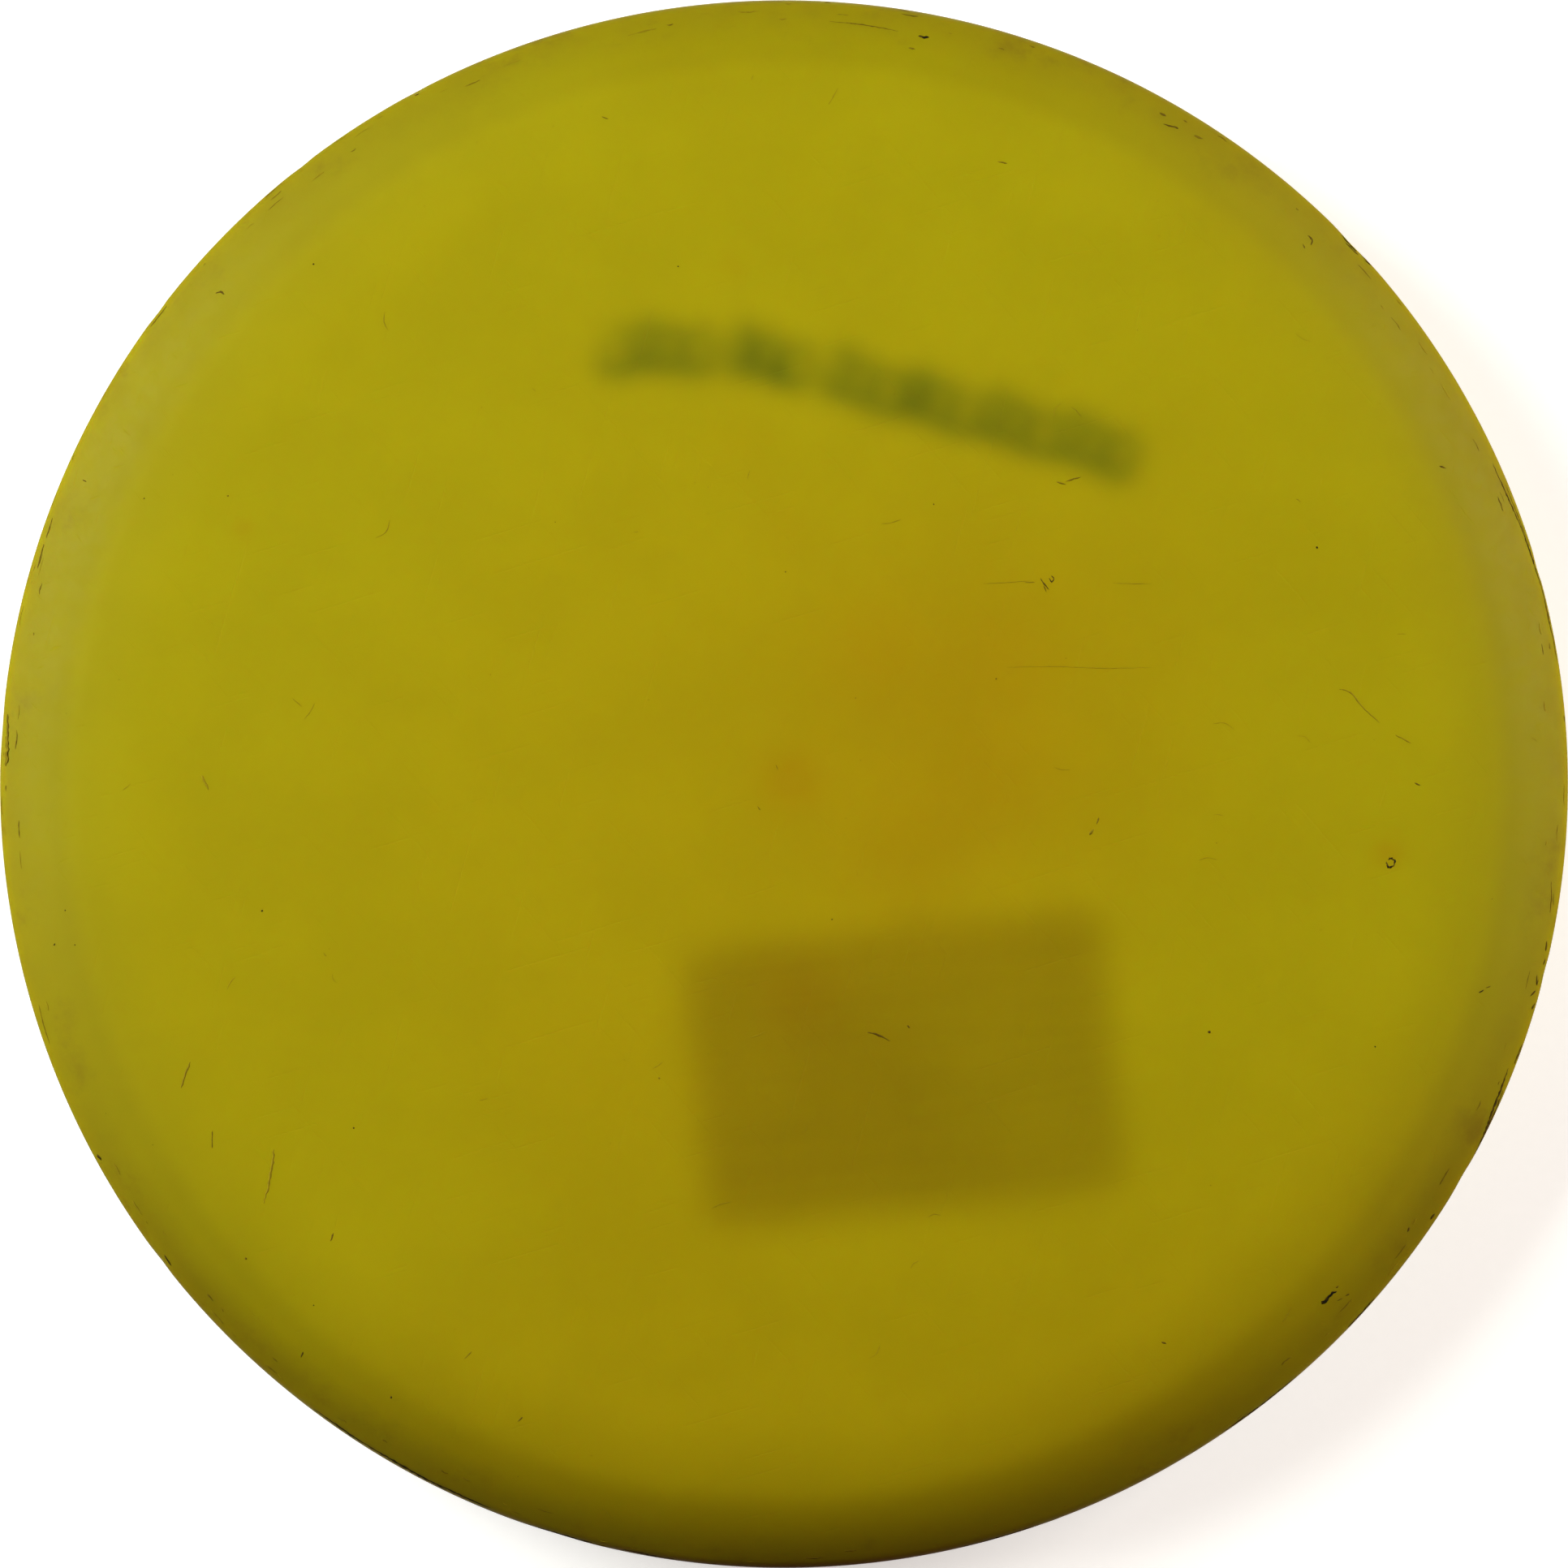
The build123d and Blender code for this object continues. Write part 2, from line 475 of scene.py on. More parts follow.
# On the plate: points (x, y), width, darkness
PLATE_MARKS = (
    (((72.1, -69.6), (72.7, -69.0), (73.2, -68.4), (74.1, -67.9)), 0.6, 1.0),
    (((72.0, -69.7), (72.6, -69.2)), 0.6, 1.0),
    (((73.9, -67.5), (74.3, -67.2)), 0.16, 0.6),
    (((74.1, -69.3), (75.0, -69.0)), 0.15, 0.6),
    (((75.3, -68.7), (75.9, -68.4)), 0.2, 0.75),
    (((34.1, 27.4), (34.6, 26.6), (35.3, 25.8)), 0.2, 0.7),
    (((34.5, 26.4), (34.9, 25.5)), 0.14, 0.55),
    (((35.2, 27.4), (35.6, 26.9), (35.9, 27.3), (35.5, 27.7)), 0.2, 0.75),
    (((31.9, 26.8), (33.4, 26.8)), 0.14, 0.25),
    (((11.0, -33.0), (12.6, -33.4), (14.2, -34.2)), 0.26, 0.6),
    (((16.3, -32.1), (16.8, -32.4)), 0.35, 0.6),
    (((-76.2, 65.7), (-75.5, 65.9), (-74.9, 65.5)), 0.28, 0.6),
    (((70.2, 73.6), (70.9, 73.0), (70.6, 72.2)), 0.26, 0.6),
    (((69.5, 72.4), (69.8, 71.7)), 0.24, 0.55),
    (((18.0, 100.4), (18.8, 100.2), (19.5, 100.2)), 0.34, 0.95),
    (((6.0, 102.4), (9.4, 102.1), (12.6, 101.6), (15.4, 101.0)), 0.14, 0.5),
    (((16.6, 98.6), (17.6, 98.4)), 0.2, 0.35),
    (((50.8, 88.6), (52.2, 88.3), (53.0, 88.0)), 0.3, 0.6),
    (((55.0, 87.1), (56.4, 86.7)), 0.26, 0.4),
    (((28.4, 83.0), (29.8, 82.7)), 0.2, 0.35),
    (((87.6, 42.5), (88.6, 42.2)), 0.26, 0.6),
    (((36.2, 40.2), (37.6, 39.8)), 0.2, 0.35),
    (((37.4, 40.2), (38.6, 40.6), (39.6, 40.9)), 0.2, 0.35),
    (((73.9, 12.6), (75.4, 12.2), (77.4, 9.9), (79.4, 8.1)), 0.2, 0.25),
    (((81.4, 6.6), (83.6, 5.4)), 0.2, 0.2),
    (((40.6, -6.8), (41.2, -6.0)), 0.5, 0.25),
    (((41.5, -5.4), (41.9, -4.4)), 0.22, 0.4),
    (((-80.4, -40.6), (-79.9, -39.0), (-79.1, -37.0)), 0.3, 0.3),
    (((-76.2, -46.2), (-76.3, -48.6)), 0.2, 0.5),
    (((-68.0, -48.6), (-68.4, -52.0), (-69.4, -56.0)), 0.4, 0.25),
    (((-60.0, -59.8), (-60.5, -61.0)), 0.26, 0.5),
    (((-64.4, -76.0), (-64.7, -76.9)), 0.28, 0.85),
    (((-34.8, -84.4), (-35.6, -85.1)), 0.24, 0.5),
    (((-41.6, -75.6), (-42.7, -76.7)), 0.18, 0.35),
    (((50.3, -74.4), (51.0, -74.7)), 0.26, 0.6),
    (((-24.4, 89.1), (-23.4, 88.7)), 0.18, 0.4),
    (((92.8, -27.9), (93.6, -27.5)), 0.3, 0.9),
    (((93.8, -27.3), (94.6, -27.0)), 0.16, 0.5),
    (((84.0, 0.2), (84.9, -0.2)), 0.24, 0.5),
    (((29.6, 15.5), (36.0, 15.6), (43.0, 15.4), (49.0, 15.5)), 0.1, 0.12),
    (((26.4, 26.6), (32.8, 27.0)), 0.1, 0.12),
    (((43.7, 26.7), (49.0, 26.6)), 0.1, 0.12),
    (((-1.1, 2.6), (-0.8, 1.8)), 0.12, 0.45),
    (((-3.6, -2.9), (-3.1, -3.5)), 0.12, 0.45),
    (((-77.6, 1.2), (-76.6, -0.8)), 0.3, 0.15),
    (((-94.2, 40.9), (-93.6, 40.5)), 0.22, 0.55),
)

# Specks: x, y, size, darkness
SPECKS = (
    (71.0, 31.5, 0.28, 1.0),
    (56.6, -33.0, 0.34, 0.9),
    (78.8, -35.0, 0.22, 0.9),
    (-14.1, 68.9, 0.22, 0.9),
    (-62.8, 69.4, 0.26, 0.8),
    (-69.5, -16.9, 0.26, 1.0),
    (-96.1, -16.9, 0.22, 0.8),
    (-97.7, -21.5, 0.3, 0.8),
    (-94.8, -21.5, 0.2, 0.7),
    (-57.3, -45.8, 0.24, 0.9),
    (-62.8, -69.6, 0.22, 0.7),
    (-52.5, -82.0, 0.3, 0.8),
    (0.2, 28.2, 0.2, 0.6),
    (19.9, 37.2, 0.18, 0.7),
    (28.2, 14.0, 0.2, 0.7),
    (6.4, -18.0, 0.2, 0.8),
    (-85.4, 38.1, 0.2, 0.8),
    (-74.1, 38.4, 0.3, 0.35),
    (-16.6, -39.1, 0.3, 0.3),
    (-71.9, -63.4, 0.3, 0.5),
)

# Along the rim: direction at each end in degrees, radius at each end, width, darkness
RIM_MARKS = (
    (44.6, 42.9, 105.7, 105.6, 0.45, 0.95),
    (44.0, 42.6, 105.2, 105.3, 0.2, 0.7),
    (42.4, 41.4, 105.8, 105.8, 0.5, 0.8),
    (24.4, 19.0, 104.7, 105.2, 0.2, 0.7),
    (19.4, 14.6, 105.15, 105.55, 0.26, 0.85),
    (15.2, 9.0, 105.55, 105.5, 0.2, 0.7),
    (22.6, 17.6, 105.3, 105.6, 0.14, 0.5),
    (-7.2, -9.6, 104.0, 104.6, 0.16, 0.4),
    (-8.0, -9.0, 104.6, 104.9, 0.16, 0.4),
    (-11.6, -12.4, 104.9, 105.1, 0.24, 0.7),
    (-12.9, -13.4, 105.3, 105.2, 0.22, 0.7),
    (-14.2, -15.0, 104.6, 105.0, 0.3, 0.75),
    (-15.3, -15.9, 105.1, 104.4, 0.2, 0.7),
    (-16.2, -16.8, 105.5, 105.3, 0.3, 0.65),
    (-19.4, -21.0, 105.6, 105.5, 0.3, 0.7),
    (-21.4, -27.6, 104.8, 105.6, 0.34, 0.78),
    (-23.0, -28.4, 105.4, 105.8, 0.3, 0.72),
    (-33.4, -34.0, 105.0, 105.0, 0.3, 0.8),
    (-35.3, -35.7, 103.0, 103.1, 0.25, 0.6),
    (233.0, 238.5, 105.5, 105.3, 0.25, 0.9),
    (237.5, 244.5, 105.4, 105.5, 0.35, 0.95),
    (243.5, 248.0, 105.3, 105.3, 0.25, 0.9),
    (251.0, 257.0, 105.8, 105.7, 0.3, 0.95),
    (258.0, 262.0, 105.5, 105.6, 0.25, 0.8),
    (174.8, 176.8, 105.1, 104.7, 0.4, 0.45),
    (176.2, 178.7, 104.8, 104.8, 0.75, 0.35),
    (160.0, 161.6, 104.8, 104.7, 0.2, 0.5),
    (162.0, 163.9, 104.8, 104.6, 0.24, 0.5),
    (208.3, 208.9, 105.1, 105.0, 0.4, 0.8),
    (217.2, 218.2, 104.8, 105.0, 0.3, 0.8),
    (196.5, 199.5, 104.6, 104.9, 0.18, 0.35),
    (117.8, 118.3, 105.4, 105.3, 0.35, 0.8),
    (128.0, 128.5, 105.7, 105.7, 0.4, 0.8),
    (142.2, 144.2, 105.2, 105.3, 0.2, 0.5),
    (60.2, 60.8, 103.4, 103.4, 0.3, 0.5),
    (283.0, 289.0, 105.7, 105.8, 0.25, 0.8),
    (304.0, 311.0, 105.6, 105.7, 0.3, 0.8),
    (316.0, 319.0, 105.7, 105.6, 0.3, 0.8),
)
LARGEST_MARK_RADIUS = 105.9  # keeps marks on the upper side of the nose

# A small round cut: x, y, radius, then its line's width and darkness, and its stretches in degrees
RING_NICK = (80.8, -10.5, 0.56)
RING_WIDTH = 0.3
RING_DARKNESS = 0.9
RING_STRETCHES = ((-35, 150), (165, 335))
RING_STEP = 24  # degrees between the points of a stretch
RING_STRETCH = 1.1  # its height over its width

# Fine random marks besides: how many, and the radii that they lie within
WEAR_SEED = 7
GRAINS = 70
GRAIN_REACH = 103
HAIRLINES = 36
HAIRLINE_REACH = 102
RIM_SCUFFS = 120
SCUFF_BAND = (102.5, 105.8)

MARK_BEDDING = 0.06 * MM  # how deep a mark's keel lies under the surface
MARK_CROWN = 0.018 * MM  # how far its crest stands out
EDGE_LIFT = 0.3 * MARK_CROWN  # how far its sides stand out
STROKE_STEP = 0.35 * MM  # between the sections of a stroke
STROKE_HALF = (0.28, 0.62)  # range of a ragged stroke's half width, in its widths
STROKE_DRIFT = 0.22  # how far its middle strays to either side, in its widths
STROKE_TAPER = 0.6  # lower is blunter at the ends
GRAIN_SIDES = 7

SIDE_RADII = np.array([radius for radius, _ in OUTER_SECTION])
NOSE_INDEX = int(np.argmax(SIDE_RADII))
UPPER_RADII = SIDE_RADII[: NOSE_INDEX + 1]
UPPER_HEIGHTS = np.array([height for _, height in OUTER_SECTION])[: NOSE_INDEX + 1]
UPPER_NORMALS = section_normals(OUTER_SECTION)[: NOSE_INDEX + 1]


def on_surface(x, y, lift):
    """Place over the worn upper surface at (x, y), that far out along its normal."""
    radius = min(math.hypot(x, y), UPPER_RADII[-2])
    height = float(np.interp(radius, UPPER_RADII, UPPER_HEIGHTS))
    radial = float(np.interp(radius, UPPER_RADII, UPPER_NORMALS[:, 0]))
    up = float(np.interp(radius, UPPER_RADII, UPPER_NORMALS[:, 1]))
    across, ahead = x / max(radius, NO_RADIUS), y / max(radius, NO_RADIUS)
    out = lift - sink(x, y, height)
    return ((radius + radial * out) * across, (radius + radial * out) * ahead, height + up * out)


def smooth_path(points, steps):
    """Points along a smooth curve through the given ones."""
    padded = [points[0], *points, points[-1]]
    path = []
    for a, b, c, d in zip(padded, padded[1:], padded[2:], padded[3:]):
        for i in range(steps):
            t = i / steps
            path.append(
                tuple(
                    0.5 * (2 * q + (r - p) * t + (2 * p - 5 * q + 4 * r - s) * t**2)
                    + 0.5 * (3 * q - p - 3 * r + s) * t**3
                    for p, q, r, s in zip(a, b, c, d)
                )
            )
    path.append(points[-1])
    return path


class MarkBuilder:
    """Collects marks as closed slivers with one darkness each."""

    def __init__(self):
        self.places = []
        self.faces = []
        self.darkness = []
        self.dice = random.Random(WEAR_SEED)

    def add(self, place, darkness):
        """Adds a vertex and gives its number."""
        self.places.append(place)
        self.darkness.append(darkness)
        return len(self.places) - 1

    def stroke(self, points, width, darkness):
        """A ragged scratch along points in metres, tapering to both ends."""
        length = sum(math.dist(a, b) for a, b in zip(points, points[1:]))
        steps = max(3, min(40, int(length / STROKE_STEP / (len(points) - 1))))
        path = smooth_path(points, steps)
        last = len(path) - 1
        tip = self.add(on_surface(*path[0], 0), darkness)
        previous = None
        for i in range(1, last):
            ahead = np.subtract(path[i + 1], path[i - 1])
            side = np.array((-ahead[1], ahead[0])) / max(np.linalg.norm(ahead), 1e-12)
            taper = math.sin(math.pi * i / last) ** STROKE_TAPER
            half = width * taper * self.dice.uniform(*STROKE_HALF)
            drift = width * self.dice.uniform(-STROKE_DRIFT, STROKE_DRIFT)
            middle = np.array(path[i]) + side * drift
            left, right = middle + side * half, middle - side * half
            section = [
                self.add(on_surface(*left, EDGE_LIFT), darkness),
                self.add(on_surface(*middle, MARK_CROWN), darkness),
                self.add(on_surface(*right, EDGE_LIFT), darkness),
                self.add(on_surface(*middle, -MARK_BEDDING), darkness),
            ]
            self.join(previous or [tip] * 4, section)
            previous = section
        end = self.add(on_surface(*path[-1], 0), darkness)
        self.join(previous, [end] * 4)

    def join(self, first, second):
        """Faces between two sections of a stroke, either of which may be a single point."""
        for i in range(4):
            j = (i + 1) % 4
            corners = [first[i], first[j], second[j], second[i]]
            self.faces.append(tuple(dict.fromkeys(corners)))

    def speck(self, x, y, size, darkness):
        """A small grain of dirt."""
        crest = self.add(on_surface(x, y, MARK_CROWN), darkness)
        keel = self.add(on_surface(x, y, -MARK_BEDDING), darkness)
        ring = []
        for i in range(GRAIN_SIDES):
            angle = 2 * math.pi * i / GRAIN_SIDES
            reach = size / 2 * self.dice.uniform(0.7, 1.25)
            spot = (x + reach * math.cos(angle), y + reach * math.sin(angle))
            ring.append(self.add(on_surface(*spot, EDGE_LIFT), darkness))
        for i in range(GRAIN_SIDES):
            j = (i + 1) % GRAIN_SIDES
            self.faces.append((crest, ring[i], ring[j]))
            self.faces.append((keel, ring[j], ring[i]))

    def finish(self, name):
        """Makes all the marks into one object."""
        mesh = bpy.data.meshes.new(name)
        mesh.from_pydata(self.places, [], self.faces)
        clean_mesh(mesh)
        layer = mesh.attributes.new("darkness", "FLOAT", "POINT")
        layer.data.foreach_set("value", np.array(self.darkness, np.float32))
        return add_object(name, mesh)


def rim_point(direction, radius):
    """Plan-view place on the rim, in metres."""
    angle = math.radians(direction)
    return radius * MM * math.cos(angle), radius * MM * math.sin(angle)


def rim_stroke(marks, start, end, radius_start, radius_end, width, darkness):
    """A scratch that follows the rim and wanders a little."""
    count = max(2, int(abs(end - start) / 2) + 2)
    points = []
    for i in range(count):
        share = i / (count - 1)
        wander = 0 if i in (0, count - 1) else marks.dice.uniform(-0.12, 0.12)
        radius = radius_start + (radius_end - radius_start) * share + wander
        points.append(rim_point(start + (end - start) * share, min(radius, LARGEST_MARK_RADIUS)))
    marks.stroke(points, width * MM, darkness)


def ring_nick(marks):
    """The round cut, as two ragged strokes with gaps between them."""
    x, y, radius = RING_NICK
    for start, end in RING_STRETCHES:
        ring = []
        for angle in range(start, end, RING_STEP):
            reach = radius * marks.dice.uniform(0.88, 1.14)
            turn = math.radians(angle)
            across = reach * math.cos(turn)
            ahead = RING_STRETCH * reach * math.sin(turn)
            ring.append(((x + across) * MM, (y + ahead) * MM))
        marks.stroke(ring, RING_WIDTH * MM, RING_DARKNESS)


def scatter_grains(marks):
    """Fine dirt over the whole top."""
    dice = marks.dice
    for _ in range(GRAINS):
        radius = GRAIN_REACH * math.sqrt(dice.random())
        x, y = rim_point(dice.uniform(0, 360), radius)
        marks.speck(x, y, dice.uniform(0.06, 0.13) * MM, dice.uniform(0.2, 0.7))


def scatter_hairlines(marks):
    """Faint short scratches over the whole top, in any direction."""
    dice = marks.dice
    for _ in range(HAIRLINES):
        radius = HAIRLINE_REACH * math.sqrt(dice.random())
        x, y = rim_point(dice.uniform(0, 360), radius)
        angle = dice.uniform(0, 2 * math.pi)
        length = dice.uniform(0.6, 3.2) * MM
        bend = dice.uniform(-0.2, 0.2) * length
        middle = (x - bend * math.sin(angle), y + bend * math.cos(angle))
        half = (length / 2 * math.cos(angle), length / 2 * math.sin(angle))
        points = [(x - half[0], y - half[1]), middle, (x + half[0], y + half[1])]
        marks.stroke(points, dice.uniform(0.06, 0.12) * MM, dice.uniform(0.08, 0.3))


def scatter_rim_scuffs(marks):
    """Short scuffs along the rim."""
    dice = marks.dice
    for _ in range(RIM_SCUFFS):
        direction = dice.uniform(0, 360)
        radius = dice.uniform(*SCUFF_BAND)
        turn = dice.uniform(0.2, 1.6)
        points = [
            rim_point(direction, radius),
            rim_point(direction + turn / 2, radius + dice.uniform(-0.15, 0.15)),
            rim_point(direction + turn, radius),
        ]
        marks.stroke(points, dice.uniform(0.07, 0.2) * MM, dice.uniform(0.1, 0.55))


def build_marks():
    """Every scratch, nick and speck on the disc."""
    marks = MarkBuilder()
    for points, width, darkness in PLATE_MARKS:
        marks.stroke([(x * MM, y * MM) for x, y in points], width * MM, darkness)
    for mark in RIM_MARKS:
        rim_stroke(marks, *mark)
    ring_nick(marks)
    for x, y, size, darkness in SPECKS:
        marks.speck(x * MM, y * MM, size * MM, darkness)
    scatter_grains(marks)
    scatter_hairlines(marks)
    scatter_rim_scuffs(marks)
    return marks.finish("scuff_marks")


# ---- Materials -------------------------------------------------------------------------------


class Shader:
    """A material and short ways to add and wire its nodes."""

    def __init__(self, name):
        self.material = bpy.data.materials.new(name)
        self.material.use_nodes = True
        self.tree = self.material.node_tree
        self.tree.nodes.clear()

    def add(self, kind, inputs=None, **settings):
        """A node, with values or links for its inputs by name or number."""
        made = self.tree.nodes.new("ShaderNode" + kind)
        for name, value in settings.items():
            setattr(made, name, value)
        for name, value in (inputs or {}).items():
            self.feed(made.inputs[name], value)
        return made

    def feed(self, socket, value):
        """Links another socket to this one, or sets its value."""
        if isinstance(value, bpy.types.NodeSocket):
            self.tree.links.new(value, socket)
        else:
            socket.default_value = value

    def math(self, operation, a, b=0.0, clamp=False):
        """Result of an operation on two values."""
        made = self.add("Math", {0: a, 1: b}, operation=operation, use_clamp=clamp)
        return made.outputs[0]

    def ramp(self, value, low, high, to_low=0.0, to_high=1.0):
        """Smooth step of a value from one range to another."""
        inputs = {
            "Value": value,
            "From Min": low,
            "From Max": high,
            "To Min": to_low,
            "To Max": to_high,
        }
        return self.add("MapRange", inputs, interpolation_type="SMOOTHSTEP").outputs[0]

    def mix(self, share, a, b, blend="MIX"):
        """The first colour with that share of the second."""
        made = self.add("Mix", {0: share, 6: a, 7: b}, data_type="RGBA", blend_type=blend)
        return made.outputs[2]

    def stain(self, share, colour, tint):
        """The colour, multiplied by the tint where the share is 1."""
        return self.mix(share, colour, self.mix(1.0, colour, tint, "MULTIPLY"))

    def noise(self, place, scale, detail=3.0, roughness=0.55):
        """Cloudy noise with that many features per metre."""
        inputs = {"Vector": place, "Scale": scale, "Detail": detail, "Roughness": roughness}
        return self.add("TexNoise", inputs).outputs[0]

    def place(self):
        """Position on the object, in metres."""
        return self.add("TexCoord").outputs["Object"]

    def turned(self, place, angle, stretch=(1, 1, 1), shift=(0, 0, 0)):
        """Places turned about Z, moved and stretched."""
        inputs = {
            "Vector": place,
            "Location": shift,
            "Rotation": (0, 0, math.radians(angle)),
            "Scale": stretch,
        }
        return self.add("Mapping", inputs, vector_type="TEXTURE").outputs[0]

    def attribute(self, name):
        """A value kept on the mesh's vertices."""
        return self.add("Attribute", attribute_name=name).outputs["Fac"]

    def bump(self, height, distance, strength=1.0, under=None):
        """Normal of a relief, laid over another one."""
        inputs = {"Height": height, "Distance": distance, "Strength": strength}
        if under is not None:
            inputs["Normal"] = under
        return self.add("Bump", inputs).outputs[0]

    def surface(self, **inputs):
        """Ends the material in a Principled shader with those inputs."""
        named = {name.replace("_", " "): value for name, value in inputs.items()}
        shader = self.add("BsdfPrincipled", named)
        output = self.add("OutputMaterial")
        self.tree.links.new(shader.outputs[0], output.inputs["Surface"])
        return self.material


LABEL_TURN = 5.5  # degrees, of the label and the lines printed on it

# Colours of the plastic: clean, warmer (also the painted shade along the lower rim), paler, and scuffed
# and dirty at the rim
PLASTIC = (0.347, 0.296, 0.0009, 1)
PLASTIC_WARM_AND_SHADE = (0.345, 0.232, 0.0005, 1)
PLASTIC_PALE = (0.353, 0.316, 0.0013, 1)
PLASTIC_WORN = (0.205, 0.168, 0.002, 1)
RIM_GRIME = (0.15, 0.10, 0.004, 1)

# What multiplies the plastic's colour where painted shade darkens the rim, over the label and over the
# ink
RIM_SHADE_TINT = (0.76, 0.70, 0.5, 1)
LABEL_TINT = (0.68, 0.60, 0.40, 1)
INK_TINT = (0.26, 0.38, 1.5, 1)

# Painted shade, darker outwards: slightly over the plate outside its middle, more over the rim, and in a
# narrow ring over the rim's inner wall: tint, and the radii between which it comes in
PAINTED_SHADE_RINGS = (
    ((0.955, 0.95, 0.9, 1), 30 * MM, 80 * MM),
    ((0.79, 0.79, 0.7, 1), INSIDE_RADIUS - 12 * MM, INSIDE_RADIUS + 8 * MM),
    ((0.91, 0.90, 0.8, 1), INSIDE_RADIUS - 2 * MM, INSIDE_RADIUS + 1.5 * MM),
)

# Radii between which the rim's scuffing and its grime come in
WORN_ZONE = (OUTER_RADIUS - 7.5 * MM, OUTER_RADIUS - 0.5 * MM)
GRIME_ZONE = (OUTER_RADIUS - 9 * MM, OUTER_RADIUS)

SCRATCH_DIRECTIONS = (17, 74, 131)  # degrees


def plastic_tone(shader, place, radius):
    """Clean plastic: its tone drifts, with warmer patches and painted shade along the lower rim, and
    painted shade darkens it outwards and over the rim's inner wall.
    """
    clouds = shader.noise(place, 14, 2)
    colour = shader.mix(shader.ramp(clouds, 0.3, 0.7), PLASTIC, PLASTIC_PALE)
    # Warmer patches, and painted shade that browns the lower rim
    colour = shader.mix(shader.attribute("warmth_and_shade"), colour, PLASTIC_WARM_AND_SHADE)
    mottle = shader.ramp(shader.noise(place, 60, 3), 0.35, 0.65, 0.98, 1.02)
    colour = shader.mix(1.0, colour, mottle, "MULTIPLY")
    # Painted shade: the plastic darkened outwards and over the rim's inner wall
    for tint, start, end in PAINTED_SHADE_RINGS:
        colour = shader.stain(shader.ramp(radius, start, end), colour, tint)
    return colour


def worn_and_shaded_rim(shader, place, radius, colour):
    """The colour with the rim's patchy scuffing, its grime and painted shade on stretches along its
    lower side.
    """
    patchy = shader.ramp(shader.noise(place, 180, 4), 0.3, 0.7, 0.55, 1.0)
    worn = shader.math("MULTIPLY", shader.ramp(radius, *WORN_ZONE), patchy)
    colour = shader.mix(worn, colour, PLASTIC_WORN)
    grime = shader.ramp(shader.noise(place, 95, 5, 0.65), 0.52, 0.72, 0.0, 0.55)
    grime = shader.math("MULTIPLY", grime, shader.ramp(radius, *GRIME_ZONE))
    colour = shader.mix(grime, colour, RIM_GRIME)
    # Painted shade: darker, browner stretches of the rim, mostly on its lower side
    return shader.stain(shader.attribute("lower_rim_shade"), colour, RIM_SHADE_TINT)


def shown_through(shader, place, colour):
    """The colour with the shadows of the label, which is faintly lined, and of the ink."""
    lines = shader.noise(shader.turned(place, LABEL_TURN, (14, 1, 1)), 420, 2)
    lines = shader.ramp(lines, 0.3, 0.7, 0.97, 1.03)
    label = shader.math("MULTIPLY", shader.attribute("label_shadow"), lines)
    colour = shader.stain(label, colour, LABEL_TINT)
    return shader.stain(shader.attribute("ink_shadow"), colour, INK_TINT)


def fine_scratches(shader, place):
    """Long fine scratches in a few directions, from 0 to 1 where there is one."""
    scratches = 0.0
    for angle in SCRATCH_DIRECTIONS:
        streak = shader.noise(shader.turned(place, angle, (18, 0.35, 1)), 900, 2)
        scratches = shader.math("ADD", scratches, shader.ramp(streak, 0.68, 0.74))
    return scratches


def plastic_material():
    """Translucent yellow elastomer with wear and painted shade, and with what shows through it."""
    shader = Shader("yellow_plastic")
    place = shader.place()
    split = shader.add("SeparateXYZ", {0: place})
    squares = [shader.math("POWER", split.outputs[i], 2.0) for i in (0, 1)]
    radius = shader.math("SQRT", shader.math("ADD", *squares))
    colour = plastic_tone(shader, place, radius)
    colour = worn_and_shaded_rim(shader, place, radius, colour)
    colour = shown_through(shader, place, colour)
    grain = shader.noise(place, 420, 3)
    scratches = fine_scratches(shader, place)
    normal = shader.bump(shader.noise(place, 2600, 2), 0.004 * MM)
    normal = shader.bump(grain, 0.012 * MM, under=normal)
    normal = shader.bump(scratches, -0.008 * MM, under=normal)
    roughness = shader.ramp(grain, 0.3, 0.7, 0.56, 0.64)
    duller = shader.ramp(radius, INSIDE_RADIUS, OUTER_RADIUS - 2 * MM, 0.0, 0.04)
    roughness = shader.math("ADD", roughness, duller)
    roughness = shader.math("ADD", roughness, shader.math("MULTIPLY", scratches, 0.12))
    return shader.surface(
        Base_Color=colour,
        Roughness=roughness,
        Normal=normal,
        IOR=1.5,
        Specular_IOR_Level=0.065,
        Sheen_Weight=0.3,
        Sheen_Roughness=0.22,
        Subsurface_Weight=0.3,
        Subsurface_Radius=(1.0, 0.35, 0.04),
        Subsurface_Scale=0.007,
    )


def dirt_material():
    """Dirt and bruised plastic in the scratches, from dull yellow-brown to near black."""
    shader = Shader("ground_in_dirt")
    place = shader.place()
    dark = shader.attribute("darkness")
    patchy = shader.noise(place, 1800, 3)
    dark = shader.math("MULTIPLY", dark, shader.ramp(patchy, 0.25, 0.6, 0.75, 1.05), clamp=True)
    faint = (0.26, 0.20, 0.004, 1)
    brown = (0.085, 0.05, 0.003, 1)
    black = (0.008, 0.007, 0.002, 1)
    colour = shader.mix(shader.ramp(dark, 0.0, 0.65), faint, brown)
    colour = shader.mix(shader.ramp(dark, 0.6, 1.0), colour, black)
    normal = shader.bump(patchy, 0.01 * MM)
    return shader.surface(Base_Color=colour, Roughness=0.8, Normal=normal, Specular_IOR_Level=0.06)


# Rows of print on the label: their spacing, words per metre, and half the printed width and length
PRINT_ROW = 3.6 * MM
PRINT_WORDS = 330
PRINT_HALF_WIDTH = 23 * MM
PRINT_HALF_LENGTH = 14.4 * MM


